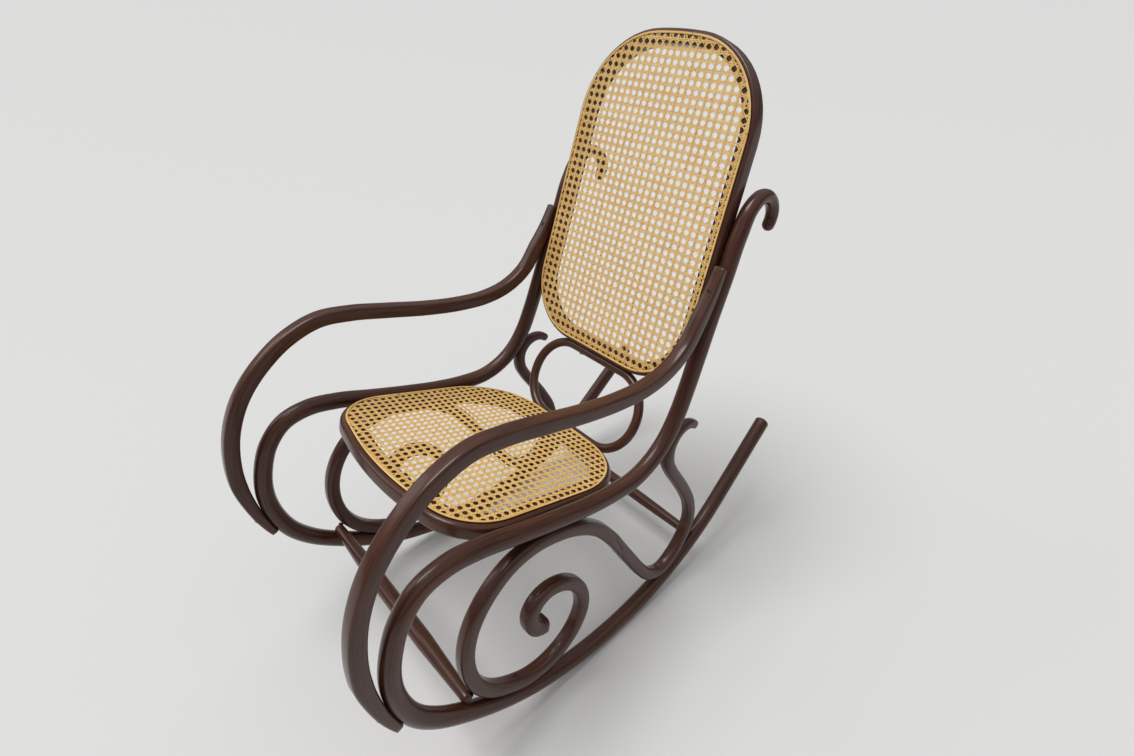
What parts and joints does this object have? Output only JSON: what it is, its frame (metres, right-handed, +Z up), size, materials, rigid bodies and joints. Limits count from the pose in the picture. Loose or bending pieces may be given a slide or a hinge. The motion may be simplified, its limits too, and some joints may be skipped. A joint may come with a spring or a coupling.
{
  "type": "bentwood rocking chair",
  "caption": "Bentwood rocking chair with scrolled sides, curved arms, runners in one piece with the seat rails, and a caned seat and back.",
  "frame": {"origin": "on the floor under the middle of the chair's overall box, midway between the two runners", "axes": "+Z up, the sitter faces -Y, +X towards the sitter's left"},
  "size_m": [0.5492, 1.0134, 1.1043],
  "materials": {
    "stained_beech": "satin",
    "cane": "satin",
    "screw_steel": "satin"
  },
  "bodies": {
    "root": {"left_side_loop": "stained_beech", "left_arm": "stained_beech", "left_inner_scroll": "stained_beech", "left_rear_brace": "stained_beech", "right_side_loop": "stained_beech", "right_arm": "stained_beech", "right_inner_scroll": "stained_beech", "right_rear_brace": "stained_beech", "front_stretcher": "stained_beech", "rear_stretcher": "stained_beech", "seat_frame": "stained_beech", "back_frame": "stained_beech", "back_lower_ring": "stained_beech", "seat_cane": "cane", "back_cane": "cane", "seat_binder": "cane", "back_binder": "cane", "arm_screws": "screw_steel", "rod_screws": "screw_steel", "stretcher_screws": "screw_steel", "seat_frame_screws": "screw_steel", "back_frame_screws": "screw_steel", "ring_screws": "screw_steel"}
  },
  "joints": []
}
